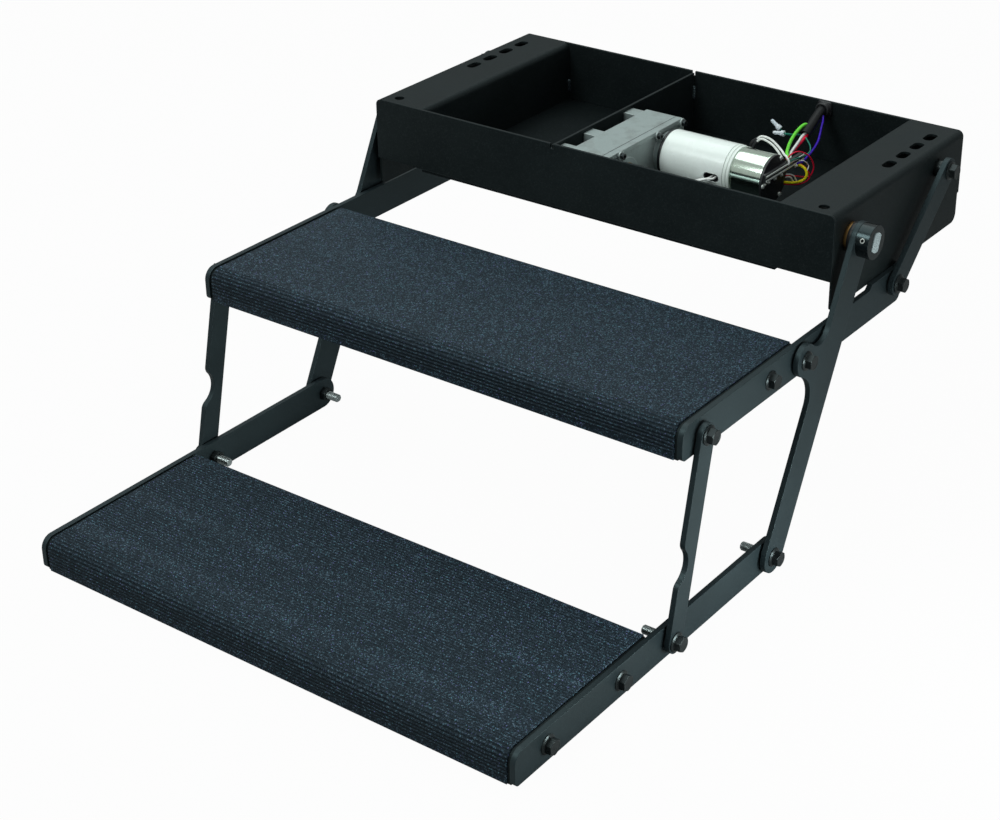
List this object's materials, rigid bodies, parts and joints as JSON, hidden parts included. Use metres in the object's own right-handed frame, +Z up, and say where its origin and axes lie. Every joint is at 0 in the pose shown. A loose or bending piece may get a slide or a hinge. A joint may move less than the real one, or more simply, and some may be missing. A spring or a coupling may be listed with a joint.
{
  "type": "caravan pull-out step",
  "caption": "Electric pull-out entrance step for a caravan: a mounting box with motor and gearbox, and treads on coupled parallelogram links that fold back under the floor.",
  "frame": {"origin": "midway between the two front mounting holes, on the top face of the flanges", "axes": "+X to the right seen from the front, +Y back under the vehicle, +Z up; the treads reach toward -Y"},
  "size_m": [0.6653, 0.8608, 0.36],
  "materials": {
    "black_steel": "satin black powder coat",
    "black_fasteners": "black zinc-flake coating",
    "zinc_steel": "bright zinc plating",
    "gear_steel": "machined, greased",
    "bronze": "sintered bronze",
    "cast_alloy": "as cast",
    "white_paint": "satin white paint",
    "white_plastic": "moulded",
    "black_plastic": "moulded",
    "clear_plastic": "cloudy nylon",
    "white_insulation": "PVC",
    "green_insulation": "PVC",
    "red_insulation": "PVC",
    "purple_insulation": "PVC",
    "teal_insulation": "PVC",
    "yellow_insulation": "PVC",
    "tread_cover": "ribbed, speckled"
  },
  "bodies": {
    "mounting_box": {"side_channel_left": "black_steel", "side_channel_right": "black_steel", "front_wall": "black_steel", "rear_wall": "black_steel", "floor_pan": "black_steel", "divider_plate": "black_steel", "shaft_bushes": "bronze", "rear_pivot_bolts": "black_fasteners", "rear_pivot_fittings": "zinc_steel", "gearbox_housing": "cast_alloy", "gearbox_cover": "cast_alloy", "gearbox_screws": "black_fasteners", "gearbox_bolts": "zinc_steel", "gearbox_bushes": "bronze", "gear_axles": "gear_steel", "motor_case": "white_paint", "motor_end_ring": "white_plastic", "controller_can": "zinc_steel", "controller_plate": "black_plastic", "controller_screws": "zinc_steel", "terminal_bar": "black_plastic", "terminal_strips": "zinc_steel", "harness_clamp": "black_plastic", "harness_sheath": "black_plastic", "crimp_caps": "clear_plastic", "motor_leads": "white_insulation", "wire_green": "green_insulation", "wire_white": "white_insulation", "wire_red": "red_insulation", "wire_purple": "purple_insulation", "wire_teal": "teal_insulation", "wire_yellow": "yellow_insulation"},
    "drive": {"drive_shaft": "zinc_steel", "drive_arm_left": "black_steel", "drive_arm_right": "black_steel", "hub_set_screw": "zinc_steel", "final_gear": "gear_steel"},
    "second_gear": {"second_gear": "gear_steel"},
    "first_gear": {"first_gear": "gear_steel"},
    "armature": {"armature": "gear_steel"},
    "rear_link_left": {"rear_link_left": "black_steel"},
    "rear_link_right": {"rear_link_right": "black_steel"},
    "upper_step": {"upper_rail_left": "black_steel", "upper_rail_right": "black_steel", "upper_tread": "black_steel", "upper_tread_cover": "tread_cover", "upper_tread_bolts": "black_fasteners", "upper_pivot_bolts": "black_fasteners", "upper_nuts": "black_fasteners", "upper_pivot_washers": "zinc_steel"},
    "lower_step": {"lower_rail_left": "black_steel", "lower_rail_right": "black_steel", "lower_tread": "black_steel", "lower_tread_cover": "tread_cover", "lower_tread_bolts": "black_fasteners", "lower_pivot_bolts": "black_fasteners", "lower_nuts": "black_fasteners", "lower_pivot_washers": "zinc_steel"},
    "front_link_left": {"front_link_left": "black_steel"},
    "front_link_right": {"front_link_right": "black_steel"}
  },
  "joints": [
    {"name": "arm_swing", "type": "hinge", "parent": "mounting_box", "child": "drive", "pos_m": [0, 0.019, -0.034], "axis": [1, 0, 0], "range_deg": [0, 90]},
    {"name": "rear_link_left_swing", "type": "hinge", "parent": "mounting_box", "child": "rear_link_left", "pos_m": [0, 0.219, -0.024], "axis": [1, 0, 0], "range_deg": [0, 90]},
    {"name": "rear_link_right_swing", "type": "hinge", "parent": "mounting_box", "child": "rear_link_right", "pos_m": [0, 0.219, -0.024], "axis": [1, 0, 0], "range_deg": [0, 90]},
    {"name": "upper_step_turn", "type": "hinge", "parent": "drive", "child": "upper_step", "pos_m": [0, -0.088, -0.1305], "axis": [1, 0, 0], "range_deg": [-90, 0]},
    {"name": "lower_step_turn", "type": "hinge", "parent": "drive", "child": "lower_step", "pos_m": [0, -0.136, -0.3415], "axis": [1, 0, 0], "range_deg": [-90, 0]},
    {"name": "front_link_left_swing", "type": "hinge", "parent": "upper_step", "child": "front_link_left", "pos_m": [0, -0.277, -0.1305], "axis": [1, 0, 0], "range_deg": [0, 90]},
    {"name": "front_link_right_swing", "type": "hinge", "parent": "upper_step", "child": "front_link_right", "pos_m": [0, -0.277, -0.1305], "axis": [1, 0, 0], "range_deg": [0, 90]},
    {"name": "second_gear_spin", "type": "hinge", "parent": "mounting_box", "child": "second_gear", "pos_m": [0, 0.05225, -0.034], "axis": [1, 0, 0], "range_deg": [-195.1, 0]},
    {"name": "first_gear_spin", "type": "hinge", "parent": "mounting_box", "child": "first_gear", "pos_m": [0, 0.07975, -0.034], "axis": [1, 0, 0], "range_deg": [0, 520.1]},
    {"name": "armature_spin", "type": "hinge", "parent": "mounting_box", "child": "armature", "pos_m": [0, 0.10725, -0.034], "axis": [1, 0, 0], "range_deg": [-1863.5, 0]}
  ],
  "couplings": [
    {"joint": "rear_link_left_swing", "follows": "arm_swing", "ratio": 1},
    {"joint": "rear_link_right_swing", "follows": "arm_swing", "ratio": 1},
    {"joint": "upper_step_turn", "follows": "arm_swing", "ratio": -1},
    {"joint": "lower_step_turn", "follows": "arm_swing", "ratio": -1},
    {"joint": "front_link_left_swing", "follows": "arm_swing", "ratio": 1},
    {"joint": "front_link_right_swing", "follows": "arm_swing", "ratio": 1},
    {"joint": "second_gear_spin", "follows": "arm_swing", "ratio": -2.1667},
    {"joint": "first_gear_spin", "follows": "arm_swing", "ratio": 5.7778},
    {"joint": "armature_spin", "follows": "arm_swing", "ratio": -20.704}
  ]
}
